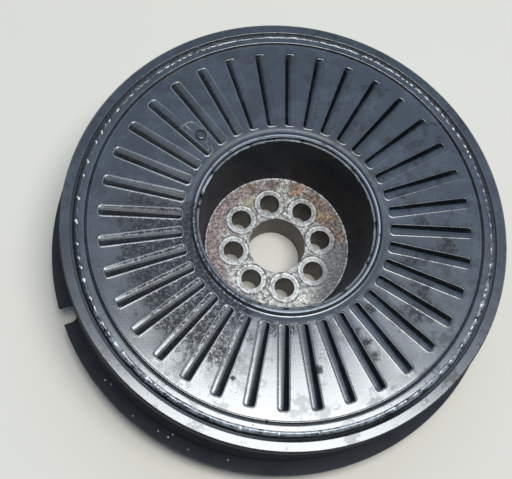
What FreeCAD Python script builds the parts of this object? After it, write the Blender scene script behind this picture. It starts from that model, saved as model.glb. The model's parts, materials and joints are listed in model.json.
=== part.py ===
"""Crankshaft belt pulley with a sealed torsional damper, lying on its rear hub face.

Origin: the centre of the hub's rear face. +Z runs along the shaft axis towards the slotted front cover.
+X points at the first bolt hole. All sizes are in millimetres and degrees.
"""
import FreeCAD, Part
import Sketcher
import math
import os

os.makedirs("parts", exist_ok=True)
doc = FreeCAD.newDocument("belt_pulley")
sheet = doc.addObject("Spreadsheet::Sheet", "Sizes")


# Driving dimensions

class Size:
    """A number together with the expression on the sheet that it comes from."""

    def __init__(self, number, text):
        self.number = number
        self.text = text

    def joined(self, other, sign, turned=False):
        other = other if isinstance(other, Size) else Size(other, str(other))
        first, second = (other, self) if turned else (self, other)
        results = {
            "+": lambda a, b: a + b,
            "-": lambda a, b: a - b,
            "*": lambda a, b: a * b,
            "/": lambda a, b: a / b,
        }
        number = results[sign](first.number, second.number)
        return Size(number, "(%s %s %s)" % (first.text, sign, second.text))

    def __add__(self, other):
        return self.joined(other, "+")

    def __radd__(self, other):
        return self.joined(other, "+", True)

    def __sub__(self, other):
        return self.joined(other, "-")

    def __rsub__(self, other):
        return self.joined(other, "-", True)

    def __mul__(self, other):
        return self.joined(other, "*")

    def __rmul__(self, other):
        return self.joined(other, "*", True)

    def __truediv__(self, other):
        return self.joined(other, "/")

    def __neg__(self):
        return self.joined(-1, "*")


sheet_rows = []


def size(alias, number):
    """Writes one driving dimension on the sheet and returns it as a Size."""
    sheet_rows.append(alias)
    row = len(sheet_rows)
    sheet.set("A%d" % row, alias)
    sheet.set("B%d" % row, str(number))
    sheet.setAlias("B%d" % row, alias)
    return Size(number, "Sizes." + alias)


# Hub: thick turned disc that bolts to the shaft's end
hub_diameter = size("hub_diameter", 65.2)
hub_thickness = size("hub_thickness", 20)
hub_edge_break = size("hub_edge_break", 0.6)
bore_diameter = size("bore_diameter", 25.5)
bolt_circle = size("bolt_circle", 40)
bolt_hole_diameter = size("bolt_hole_diameter", 9)
bolt_hole_count = size("bolt_hole_count", 8)

# Damper housing: deep-drawn steel trough round the hub
bowl_depth = size("bowl_depth", 33)
bowl_mouth_diameter = size("bowl_mouth_diameter", 73.6)
housing_diameter = size("housing_diameter", 174.4)
housing_sheet = size("housing_sheet", 3.5)
housing_floor_height = size("housing_floor_height", 9)
housing_bend_radius = size("housing_bend_radius", 5)
spigot_wall = size("spigot_wall", 1.2)
spigot_drop = size("spigot_drop", 0.6)

# Front cover: pressed steel lid with radial slots
cover_sheet = size("cover_sheet", 3)
cover_seat_clearance = size("cover_seat_clearance", 0.1)
inner_lip_width = size("inner_lip_width", 1.6)
inner_lip_height = size("inner_lip_height", 0.8)
rim_groove_inset = size("rim_groove_inset", 3.7)
rim_groove_width = size("rim_groove_width", 1.4)
rim_groove_depth = size("rim_groove_depth", 0.5)
rim_band_height = size("rim_band_height", 0.4)
cover_edge_break = size("cover_edge_break", 0.4)
slot_count = size("slot_count", 36)
slot_inner_radius = size("slot_inner_radius", 44.4)
slot_width = size("slot_width", 4.1)
slot_wall_width = size("slot_wall_width", 1.7)
slot_depth = size("slot_depth", 1.8)
slot_ramp_fall = size("slot_ramp_fall", 0.5)
slot_step_run = size("slot_step_run", 0.3)
slot_floor_width = size("slot_floor_width", 0.4)
slot_end_wall = size("slot_end_wall", 1)
slot_lead = size("slot_lead", 0.8)

# Filler plug and the flat pad round it, placed from one slot's radial line
filler_slot = size("filler_slot", 13)
plug_reach = size("plug_reach", 52.8)
plug_offset = size("plug_offset", 4.6)
plug_diameter = size("plug_diameter", 3.8)
plug_dimple_diameter = size("plug_dimple_diameter", 1.2)
plug_dimple_depth = size("plug_dimple_depth", 0.4)
plug_tail = size("plug_tail", 0.5)
pad_inner_reach = size("pad_inner_reach", 7)
pad_outer_reach = size("pad_outer_reach", 9)
pad_width = size("pad_width", 6.4)
pad_height = size("pad_height", 0.4)
pad_corner_radius = size("pad_corner_radius", 3)

# Weld beads
outer_bead_height = size("outer_bead_height", 5)
outer_bead_swell = size("outer_bead_swell", 1.9)
hub_bead_leg = size("hub_bead_leg", 3)
hub_bead_radius = size("hub_bead_radius", 4)
inner_bead_radius = size("inner_bead_radius", 1.1)

# Inertia ring and the bands it slides on, inside the sealed housing
film_gap = size("film_gap", 0.3)
inertia_side_gap = size("inertia_side_gap", 1)
inertia_wall_gap = size("inertia_wall_gap", 0.8)
inertia_edge_break = size("inertia_edge_break", 0.5)
thrust_band_seat = size("thrust_band_seat", 1.3)
rear_band_diameter = size("rear_band_diameter", 130)
rear_band_width = size("rear_band_width", 5)
front_band_width = size("front_band_width", 1.6)
front_band_shoulder = size("front_band_shoulder", 0.4)
slot_band_clearance = size("slot_band_clearance", 0.5)
radial_band_thickness = size("radial_band_thickness", 1.5)
radial_band_width = size("radial_band_width", 14)

# Belt ring on its rubber sleeve
belt_ring_diameter = size("belt_ring_diameter", 190)
rubber_thickness = size("rubber_thickness", 2.4)
rubber_inset = size("rubber_inset", 2)
land_drop = size("land_drop", 0.8)
land_edge_break = size("land_edge_break", 1)
channel_step = size("channel_step", 1.8)
channel_depth = size("channel_depth", 6.2)
flange_diameter = size("flange_diameter", 202.4)
flange_thickness = size("flange_thickness", 3)
flange_height = size("flange_height", 13)
flange_edge_break = size("flange_edge_break", 0.4)
notch_angle = size("notch_angle", 190.8)
notch_width = size("notch_width", 8)
notch_depth = size("notch_depth", 7.2)
groove_count = size("groove_count", 6)
groove_pitch = size("groove_pitch", 3.56)
groove_depth = size("groove_depth", 2.9)
groove_root_width = size("groove_root_width", 0.5)
groove_mouth_width = size("groove_mouth_width", 2.6)
groove_track_height = size("groove_track_height", 33.4)

doc.recompute()

# Heights and radii that follow from them
plate_top = hub_thickness + bowl_depth
plate_under = plate_top - cover_sheet
floor_top = housing_floor_height + housing_sheet
hub_radius = hub_diameter / 2
housing_radius = housing_diameter / 2
bowl_mouth_radius = bowl_mouth_diameter / 2
spigot_radius = bowl_mouth_radius + spigot_wall
spigot_top = plate_top - spigot_drop
cover_inner_radius = spigot_radius + cover_seat_clearance
cavity_radius = housing_radius - housing_sheet
ring_radius = cavity_radius - inertia_wall_gap
front_band_outer = ring_radius - inertia_edge_break - front_band_shoulder
front_band_inner = front_band_outer - front_band_width
slot_length = front_band_inner - slot_band_clearance - slot_end_wall - slot_inner_radius
lip_top = plate_top + inner_lip_height
band_top = plate_top + rim_band_height
belt_ring_radius = belt_ring_diameter / 2
belt_ring_bore = housing_radius + rubber_thickness
channel_radius = belt_ring_bore + channel_step
land_top = plate_top - land_drop
on_axis = Size(0, "0")


# Drawing helpers

def set_size(owner, path, wanted):
    """Binds one property of a feature to the sheet."""
    owner.setExpression(path, wanted.text)


def origin_item(body, role):
    return [item for item in body.Origin.OriginFeatures if item.Role == role][0]


def sub_part(label):
    """A body, which becomes one node of the pulley."""
    body = doc.addObject("PartDesign::Body", label)
    body.Label = label
    return body


def new_sketch(body, name, role, along=None, turned=None):
    """A sketch on one of the body's own planes, set off along its normal and turned about it if asked."""
    sketch = body.newObject("Sketcher::SketchObject", name)
    sketch.AttachmentSupport = [(origin_item(body, role), "")]
    sketch.MapMode = "FlatFace"
    upright = FreeCAD.Rotation(FreeCAD.Vector(0, 0, 1), 0 if turned is None else turned.number)
    sketch.AttachmentOffset = FreeCAD.Placement(FreeCAD.Vector(0, 0, 0), upright)
    if along is not None:
        set_size(sketch, "AttachmentOffset.Base.z", along)
    if turned is not None:
        set_size(sketch, "AttachmentOffset.Rotation.Angle", turned)
    return sketch


def dimension(sketch, kind, wanted, *where):
    """Adds one dimension whose value is bound to the sheet."""
    index = sketch.addConstraint(Sketcher.Constraint(kind, *where, wanted.number))
    set_size(sketch, "Constraints[%d]" % index, wanted)


def arc_middle(start, end, radius):
    """The middle point of the shorter arc from start to end. A positive radius bulges to the right."""
    half = (end - start) * 0.5
    rise = abs(radius) - math.sqrt(max(radius * radius - half.Length ** 2, 0))
    right = FreeCAD.Vector(half.y, -half.x, 0).normalize()
    return start + half + right * math.copysign(rise, radius)


def draw_outline(sketch, points):
    """A closed outline. Each point is (across, up) or (across, up, radius of the arc that starts there)."""
    spots = [FreeCAD.Vector(point[0].number, point[1].number, 0) for point in points]
    first_index = sketch.GeometryCount
    ends = []
    for step, point in enumerate(points):
        here, there = spots[step], spots[(step + 1) % len(spots)]
        index = first_index + step
        if len(point) == 3:
            sketch.addGeometry(Part.Arc(here, arc_middle(here, there, point[2].number), there))
        else:
            sketch.addGeometry(Part.LineSegment(here, there))
        starts_first = (sketch.getPoint(index, 1) - here).Length < (sketch.getPoint(index, 2) - here).Length
        ends.append((1, 2) if starts_first else (2, 1))
    for step, point in enumerate(points):
        index = first_index + step
        next_step = (step + 1) % len(points)
        next_index = first_index + next_step
        sketch.addConstraint(
            Sketcher.Constraint("Coincident", index, ends[step][1], next_index, ends[next_step][0])
        )
        dimension(sketch, "DistanceX", point[0], -1, 1, index, ends[step][0])
        dimension(sketch, "DistanceY", point[1], -1, 1, index, ends[step][0])
        if len(point) == 3:
            bend = point[2] if point[2].number > 0 else -point[2]
            dimension(sketch, "Radius", bend, index)


def draw_circle(sketch, across, up, diameter):
    centre = FreeCAD.Vector(across.number, up.number, 0)
    upwards = FreeCAD.Vector(0, 0, 1)
    index = sketch.addGeometry(Part.Circle(centre, upwards, diameter.number / 2))
    dimension(sketch, "DistanceX", across, -1, 1, index, 3)
    dimension(sketch, "DistanceY", up, -1, 1, index, 3)
    dimension(sketch, "Radius", diameter / 2, index)


def turned_solid(body, name, points):
    """A ring or disc turned about the shaft axis from its section (radius, height)."""
    section = new_sketch(body, name + "_section", "XZ_Plane")
    draw_outline(section, points)
    solid = body.newObject("PartDesign::Revolution", name)
    solid.Profile = section
    solid.ReferenceAxis = (section, ["V_Axis"])
    solid.Angle = 360
    doc.recompute()
    return solid


def raised(body, name, sketch, length):
    pad = body.newObject("PartDesign::Pad", name)
    pad.Profile = sketch
    set_size(pad, "Length", length)
    doc.recompute()
    return pad


def cut_away(body, name, sketch, length=None, reverse=True):
    """Cuts along the sketch's normal, through everything if no length is given."""
    pocket = body.newObject("PartDesign::Pocket", name)
    pocket.Profile = sketch
    pocket.Reversed = reverse
    if length is None:
        pocket.Type = "ThroughAll"
    else:
        set_size(pocket, "Length", length)
    before = pocket.BaseFeature.Shape.Volume
    doc.recompute()
    if not pocket.Shape.Volume < before - 0.01:
        raise RuntimeError(name + " cuts nothing")
    return pocket


def repeat_round(body, name, feature, count):
    """Repeats a feature evenly about the shaft axis."""
    pattern = body.newObject("PartDesign::PolarPattern", name)
    pattern.Originals = [feature]
    pattern.Axis = (origin_item(body, "Z_Axis"), [""])
    pattern.Angle = 360
    set_size(pattern, "Occurrences", count)
    body.Tip = pattern
    doc.recompute()
    return pattern


# Hub

hub = sub_part("hub")
turned_solid(hub, "hub_disc", [
    (bore_diameter / 2 + hub_edge_break, on_axis),
    (hub_radius - hub_edge_break, on_axis),
    (hub_radius, hub_edge_break),
    (hub_radius, hub_thickness - hub_edge_break),
    (hub_radius - hub_edge_break, hub_thickness),
    (bore_diameter / 2 + hub_edge_break, hub_thickness),
    (bore_diameter / 2, hub_thickness - hub_edge_break),
    (bore_diameter / 2, hub_edge_break),
])
bolt_sketch = new_sketch(hub, "bolt_hole_sketch", "XY_Plane")
draw_circle(bolt_sketch, bolt_circle / 2, on_axis, bolt_hole_diameter)
bolt_hole = cut_away(hub, "bolt_hole", bolt_sketch)
repeat_round(hub, "bolt_holes", bolt_hole, bolt_hole_count)


# Damper housing: the tapered bowl wall, the floor and the outer wall are one drawn sheet

housing = sub_part("damper_housing")
turned_solid(housing, "housing_trough", [
    (hub_radius, housing_floor_height),
    (housing_radius - housing_bend_radius, housing_floor_height, housing_bend_radius),
    (housing_radius, housing_floor_height + housing_bend_radius),
    (housing_radius, plate_under),
    (cavity_radius, plate_under),
    (cavity_radius, floor_top),
    (hub_radius + housing_sheet, floor_top),
    (hub_radius + housing_sheet, hub_thickness),
    (bowl_mouth_radius + housing_sheet, plate_under),
    (spigot_radius, plate_under),
    (spigot_radius, spigot_top),
    (bowl_mouth_radius, spigot_top),
    (hub_radius, hub_thickness),
])


# Front cover

cover = sub_part("front_cover")
groove_outer = housing_radius - rim_groove_inset + rim_groove_width / 2
groove_inner = groove_outer - rim_groove_width
groove_bottom = plate_top - rim_groove_depth
turned_solid(cover, "cover_plate", [
    (cover_inner_radius, plate_under),
    (housing_radius, plate_under),
    (housing_radius, band_top - cover_edge_break),
    (housing_radius - cover_edge_break, band_top),
    (groove_outer, band_top),
    (groove_outer - rim_groove_width / 3, groove_bottom),
    (groove_inner + rim_groove_width / 3, groove_bottom),
    (groove_inner, plate_top),
    (cover_inner_radius + inner_lip_width + inner_lip_height, plate_top),
    (cover_inner_radius + inner_lip_width, lip_top),
    (cover_inner_radius, lip_top),
])

# The sheet under each slot is pushed down with it
slot_ramp_side = slot_lead - slot_width
slot_foot = slot_lead - slot_wall_width
bulge_sketch = new_sketch(cover, "slot_bulge_sketch", "YZ_Plane", along=slot_inner_radius - slot_end_wall)
draw_outline(bulge_sketch, [
    (slot_ramp_side - slot_depth / 2, plate_under),
    (slot_foot, plate_under - slot_depth),
    (slot_lead + slot_depth / 2, plate_under),
    (slot_lead + slot_depth / 2, plate_under + cover_sheet / 2),
    (slot_ramp_side - slot_depth / 2, plate_under + cover_sheet / 2),
])
slot_bulge = raised(cover, "slot_bulge", bulge_sketch, slot_length + slot_end_wall * 2)
repeat_round(cover, "slot_bulges", slot_bulge, slot_count)

# A slot falls as a gentle ramp from its clockwise edge, then drops into a narrow groove under its steep wall
slot_sketch = new_sketch(cover, "slot_sketch", "YZ_Plane", along=slot_inner_radius)
draw_outline(slot_sketch, [
    (slot_ramp_side, plate_top),
    (slot_foot, plate_top - slot_ramp_fall),
    (slot_foot + slot_step_run, plate_top - slot_depth),
    (slot_foot + slot_step_run + slot_floor_width, plate_top - slot_depth),
    (slot_lead, plate_top),
    (slot_lead, plate_top + cover_sheet),
    (slot_ramp_side, plate_top + cover_sheet),
])
slot = cut_away(cover, "slot", slot_sketch, slot_length)
repeat_round(cover, "slots", slot, slot_count)

# The filler pad stands flat beside one slot and fills that slot's ramp
filler_angle = filler_slot * 360 / slot_count
pad_start = plug_reach - pad_inner_reach
pad_end = plug_reach + pad_outer_reach
pad_side = slot_foot - pad_width
pad_sketch = new_sketch(cover, "filler_pad_sketch", "XY_Plane", along=plate_under, turned=filler_angle)
draw_outline(pad_sketch, [
    (pad_start, slot_foot),
    (pad_start, pad_side + pad_corner_radius, pad_corner_radius),
    (pad_start + pad_corner_radius, pad_side),
    (pad_end - pad_corner_radius, pad_side, pad_corner_radius),
    (pad_end, pad_side + pad_corner_radius),
    (pad_end, slot_foot),
])
raised(cover, "filler_pad", pad_sketch, cover_sheet + pad_height)
plug_hole_sketch = new_sketch(cover, "plug_hole_sketch", "XY_Plane", turned=filler_angle)
draw_circle(plug_hole_sketch, plug_reach, -plug_offset, plug_diameter)
cut_away(cover, "plug_hole", plug_hole_sketch)


# Filler plug, pressed into the cover

plug = sub_part("filler_plug")
plug_bottom = plate_under - slot_depth - plug_tail
plug_sketch = new_sketch(plug, "plug_sketch", "XY_Plane", along=plug_bottom, turned=filler_angle)
draw_circle(plug_sketch, plug_reach, -plug_offset, plug_diameter)
raised(plug, "plug_shank", plug_sketch, plate_top + pad_height - plug_bottom)
dimple_sketch = new_sketch(
    plug, "plug_dimple_sketch", "XY_Plane", along=plate_top + pad_height, turned=filler_angle
)
draw_circle(dimple_sketch, plug_reach, -plug_offset, plug_dimple_diameter)
cut_away(plug, "plug_dimple", dimple_sketch, plug_dimple_depth, reverse=False)


# Weld beads

outer_weld = sub_part("outer_weld_bead")
outer_bead_top = band_top - cover_edge_break
outer_bead_bottom = outer_bead_top - outer_bead_height
outer_bead_radius = (
    outer_bead_height * outer_bead_height / (8 * outer_bead_swell) + outer_bead_swell / 2
)
turned_solid(outer_weld, "outer_bead", [
    (housing_radius, outer_bead_bottom, outer_bead_radius),
    (housing_radius, outer_bead_top),
])

inner_weld = sub_part("inner_weld_bead")
turned_solid(inner_weld, "inner_bead", [
    (bowl_mouth_radius + cover_seat_clearance, spigot_top),
    (cover_inner_radius, spigot_top),
    (cover_inner_radius, lip_top, inner_bead_radius),
])

hub_weld = sub_part("hub_weld_bead")
turned_solid(hub_weld, "hub_bead", [
    (hub_radius, housing_floor_height - hub_bead_leg, hub_bead_radius),
    (hub_radius + hub_bead_leg, housing_floor_height),
    (hub_radius, housing_floor_height),
])


# Inertia ring: a free iron ring in the sealed space, with a wall gap filled by silicone fluid

inertia = sub_part("inertia_ring")
ring_bottom = floor_top + inertia_side_gap
ring_top = plate_under - slot_depth - inertia_side_gap
band_groove_depth = radial_band_thickness - inertia_wall_gap + film_gap
ring_waist = ring_radius - band_groove_depth
ring_middle = (ring_bottom + ring_top) / 2
bore_bottom = hub_radius + housing_sheet + inertia_wall_gap
bore_top = bowl_mouth_radius + housing_sheet + inertia_wall_gap
rear_band_inner = rear_band_diameter / 2 - rear_band_width / 2
rear_band_outer = rear_band_diameter / 2 + rear_band_width / 2
front_seat = ring_top - thrust_band_seat
rear_seat = ring_bottom + thrust_band_seat
turned_solid(inertia, "inertia_body", [
    (bore_bottom + inertia_edge_break, ring_bottom),
    (rear_band_inner, ring_bottom),
    (rear_band_inner, rear_seat),
    (rear_band_outer, rear_seat),
    (rear_band_outer, ring_bottom),
    (ring_radius - inertia_edge_break, ring_bottom),
    (ring_radius, ring_bottom + inertia_edge_break),
    (ring_radius, ring_middle - radial_band_width / 2),
    (ring_waist, ring_middle - radial_band_width / 2),
    (ring_waist, ring_middle + radial_band_width / 2),
    (ring_radius, ring_middle + radial_band_width / 2),
    (ring_radius, ring_top - inertia_edge_break),
    (ring_radius - inertia_edge_break, ring_top),
    (front_band_outer, ring_top),
    (front_band_outer, front_seat),
    (front_band_inner, front_seat),
    (front_band_inner, ring_top),
    (bore_top + inertia_edge_break, ring_top),
    (bore_top, ring_top - inertia_edge_break),
    (bore_bottom, hub_thickness),
    (bore_bottom, ring_bottom + inertia_edge_break),
])


def plain_band(label, inner, outer, bottom, top):
    """A flat plastic band with a square section."""
    band = sub_part(label)
    turned_solid(band, label + "_body", [(inner, bottom), (outer, bottom), (outer, top), (inner, top)])


plain_band("rear_thrust_band", rear_band_inner, rear_band_outer, floor_top + film_gap, rear_seat)
plain_band("front_thrust_band", front_band_inner, front_band_outer, front_seat, plate_under - film_gap)
plain_band(
    "radial_slide_band",
    ring_waist,
    ring_waist + radial_band_thickness,
    ring_middle - radial_band_width / 2,
    ring_middle + radial_band_width / 2,
)


# Rubber sleeve, bonded between the housing and the belt ring

channel_bottom = plate_top - channel_depth
plain_band(
    "rubber_sleeve",
    housing_radius,
    belt_ring_bore,
    housing_floor_height + housing_bend_radius + rubber_inset / 2,
    channel_bottom - rubber_inset / 2,
)


# Belt ring: front land, ribbed belt track and rear flange are one machined ring

belt_ring = sub_part("belt_ring")
flange_radius = flange_diameter / 2
flange_top = flange_height + flange_thickness
turned_solid(belt_ring, "belt_ring_body", [
    (belt_ring_bore, flange_height),
    (flange_radius - flange_edge_break, flange_height),
    (flange_radius, flange_height + flange_edge_break),
    (flange_radius, flange_top - flange_edge_break),
    (flange_radius - flange_edge_break, flange_top),
    (belt_ring_radius, flange_top),
    (belt_ring_radius, land_top - land_edge_break),
    (belt_ring_radius - land_edge_break, land_top),
    (channel_radius, land_top),
    (channel_radius, channel_bottom),
    (belt_ring_bore, channel_bottom),
])

first_groove = groove_track_height - groove_pitch * (groove_count - 1) / 2
root_radius = belt_ring_radius - groove_depth
groove_section = new_sketch(belt_ring, "belt_groove_section", "XZ_Plane")
draw_outline(groove_section, [
    (root_radius, first_groove - groove_root_width / 2),
    (belt_ring_radius, first_groove - groove_mouth_width / 2),
    (belt_ring_radius + groove_root_width, first_groove - groove_mouth_width / 2),
    (belt_ring_radius + groove_root_width, first_groove + groove_mouth_width / 2),
    (belt_ring_radius, first_groove + groove_mouth_width / 2),
    (root_radius, first_groove + groove_root_width / 2),
])
belt_groove = belt_ring.newObject("PartDesign::Groove", "belt_groove")
belt_groove.Profile = groove_section
belt_groove.ReferenceAxis = (groove_section, ["V_Axis"])
belt_groove.Angle = 360
doc.recompute()
groove_row = belt_ring.newObject("PartDesign::LinearPattern", "belt_grooves")
groove_row.Originals = [belt_groove]
groove_row.Direction = (origin_item(belt_ring, "Z_Axis"), [""])
set_size(groove_row, "Length", groove_pitch * (groove_count - 1))
set_size(groove_row, "Occurrences", groove_count)
belt_ring.Tip = groove_row
doc.recompute()

notch_bottom = flange_radius - notch_depth
notch_radius = notch_width / 2
notch_sketch = new_sketch(belt_ring, "timing_notch_sketch", "XY_Plane", turned=notch_angle)
draw_outline(notch_sketch, [
    (flange_radius + notch_radius, -notch_radius),
    (flange_radius + notch_radius, notch_radius),
    (notch_bottom + notch_radius, notch_radius, -notch_radius),
    (notch_bottom, on_axis, -notch_radius),
    (notch_bottom + notch_radius, -notch_radius),
])
cut_away(belt_ring, "timing_notch", notch_sketch, flange_top + flange_edge_break)


# Check every feature, then write one file a sub-part

doc.recompute()
for item in doc.Objects:
    if "Invalid" in item.State or "Error" in item.State:
        raise RuntimeError(item.Name + " failed: " + item.getStatusString())
bodies = [item for item in doc.Objects if item.TypeId == "PartDesign::Body"]
for body in bodies:
    if body.Shape.isNull() or not body.Shape.isValid() or len(body.Shape.Solids) != 1:
        raise RuntimeError(body.Label + " is not one sound solid")
for body in bodies:
    body.Shape.exportStep("parts/" + body.Label + ".step")
    print("%-20s %10.0f mm3" % (body.Label, body.Shape.Volume))
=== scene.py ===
"""Looks of a crankshaft belt pulley with a sealed torsional damper, in metres, in the pulley's own frame."""

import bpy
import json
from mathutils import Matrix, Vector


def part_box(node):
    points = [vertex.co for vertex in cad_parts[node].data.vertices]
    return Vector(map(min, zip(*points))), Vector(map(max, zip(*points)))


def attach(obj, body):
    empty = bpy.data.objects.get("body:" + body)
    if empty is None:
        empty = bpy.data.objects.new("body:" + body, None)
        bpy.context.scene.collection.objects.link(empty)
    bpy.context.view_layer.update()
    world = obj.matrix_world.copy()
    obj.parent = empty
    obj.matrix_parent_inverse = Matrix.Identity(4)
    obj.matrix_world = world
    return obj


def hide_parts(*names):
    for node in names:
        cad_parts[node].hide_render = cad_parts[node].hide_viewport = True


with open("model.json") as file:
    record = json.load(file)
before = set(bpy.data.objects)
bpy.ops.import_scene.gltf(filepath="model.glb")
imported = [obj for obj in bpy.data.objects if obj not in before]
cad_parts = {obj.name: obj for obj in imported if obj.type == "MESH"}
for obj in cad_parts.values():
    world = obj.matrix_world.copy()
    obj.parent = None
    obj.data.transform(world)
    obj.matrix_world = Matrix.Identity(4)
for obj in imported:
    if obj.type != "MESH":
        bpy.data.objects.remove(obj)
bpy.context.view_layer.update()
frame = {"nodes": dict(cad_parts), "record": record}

import json
import math
import random

import bpy
from mathutils import Euler, Vector, noise

mm = 0.001


# Camera, floor and light
# The pulley lies on a plain pale floor, under one soft ceiling lamp and a sky that is brightest overhead.
# The camera looks down on it, tilted about 20 degrees and turned a little.

image_width, image_height = 512, 479
focal_pixels = 935
principal_x, principal_y = 226, 233.5
camera_data = bpy.data.cameras.new("camera")
camera_data.sensor_width = 36
camera_data.lens = focal_pixels / image_width * camera_data.sensor_width
camera_data.shift_x = (image_width / 2 - principal_x) / image_width
camera_data.shift_y = -(image_height / 2 - principal_y) / image_width
camera_data.clip_start = 0.02
camera = bpy.data.objects.new("camera", camera_data)
camera.location = (-73.5 * mm, -118.9 * mm, 420.9 * mm)
camera.rotation_euler = [math.radians(turn) for turn in (18.389, -4.485, -8.725)]
bpy.context.scene.collection.objects.link(camera)
bpy.context.scene.camera = camera
bpy.context.scene.view_settings.view_transform = "Standard"

lamp_place = Vector((0.125, -0.060, 1.305))
lamp_data = bpy.data.lights.new("ceiling_lamp", "AREA")
lamp_data.shape = "ELLIPSE"
lamp_data.size, lamp_data.size_y = 0.84, 0.44
lamp_data.energy = 19
lamp_data.color = (0.97, 1.0, 1.0)
lamp = bpy.data.objects.new("ceiling_lamp", lamp_data)
lamp.location = lamp_place
lamp_towards = lamp_place.normalized()
lamp_tilt, lamp_lean = math.asin(-lamp_towards.y), math.atan2(lamp_towards.x, lamp_towards.z)
lamp.rotation_euler = (lamp_tilt, lamp_lean, math.radians(-12))
bpy.context.scene.collection.objects.link(lamp)


class Wire:
    """An output socket of a node tree. Arithmetic on it adds Math nodes."""

    def __init__(self, socket):
        self.socket = socket
        self.tree = socket.id_data

    def node(self, kind, sockets, output=0, stops=None, **settings):
        """Adds one node: its settings first, then the values or links of its sockets, by name or number."""
        added = self.tree.nodes.new("ShaderNode" + kind)
        for setting, value in settings.items():
            setattr(added, setting, value)
        for place, colour in stops or []:
            ramp = added.color_ramp
            stop = ramp.elements[0] if place == stops[0][0] else ramp.elements.new(place)
            stop.position, stop.color = place, (*colour, 1)
        if stops:
            added.color_ramp.elements.remove(added.color_ramp.elements[-1])
        for name, value in sockets.items():
            if isinstance(value, Wire):
                self.tree.links.new(value.socket, added.inputs[name])
            else:
                added.inputs[name].default_value = value
        return Wire(added.outputs[output])

    def sum(self, operation, first, second=0.0):
        return self.node("Math", {0: first, 1: second}, operation=operation)

    def __add__(self, other):
        return self.sum("ADD", self, other)

    def __radd__(self, other):
        return self.sum("ADD", other, self)

    def __sub__(self, other):
        return self.sum("SUBTRACT", self, other)

    def __rsub__(self, other):
        return self.sum("SUBTRACT", other, self)

    def __mul__(self, other):
        return self.sum("MULTIPLY", self, other)

    def __rmul__(self, other):
        return self.sum("MULTIPLY", other, self)

    def __truediv__(self, other):
        return self.sum("DIVIDE", self, other)

    def __pow__(self, other):
        return self.sum("POWER", self, other)

    def step(self, low, high):
        """Rises smoothly from 0 to 1 between two values, or falls where low is above high."""
        sockets = {0: self, 1: min(low, high), 2: max(low, high), 3: float(low > high), 4: float(low < high)}
        return self.node("MapRange", sockets, interpolation_type="SMOOTHSTEP")

    def band(self, low, high, soft):
        """1 between two values, with soft sides."""
        return self.step(low - soft, low) * self.step(high + soft, high)

    def above(self, other):
        return self.sum("MAXIMUM", self, other)

    def mix(self, first, second):
        """The first colour where this value is 0, the second where it is 1."""
        colours = [c if isinstance(c, Wire) else (*c, 1) for c in (first, second)]
        return self.node("Mix", {0: self, 6: colours[0], 7: colours[1]}, output=2, data_type="RGBA")


sky = bpy.data.worlds.new("sky")
sky.use_nodes = True
bpy.context.scene.world = sky
sky_tree = sky.node_tree
direction = Wire(sky_tree.nodes.new("ShaderNodeTexCoord").outputs["Generated"])
east, north, upwards = (direction.node("SeparateXYZ", {0: direction}, output=n) for n in range(3))
window = (north * 0.866 - east * 0.5).step(0.66, 0.85)
low_corner = (east * 0.64 - north * 0.77).step(0.6, 0.9)
walls = window.mix((0.05, 0.06, 0.075), (0.50, 0.57, 0.65))
walls = (low_corner * 0.5).mix(walls, (0.34, 0.37, 0.42))
ceiling = east.step(-0.6, 0.8).mix((0.58, 0.75, 1.03), (0.98, 1.30, 1.80))
sky_colour = (upwards + north * 0.3).step(0.68, 0.93).mix(walls, ceiling)
sky_tree.links.new(sky_colour.socket, sky_tree.nodes["Background"].inputs["Color"])


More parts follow.
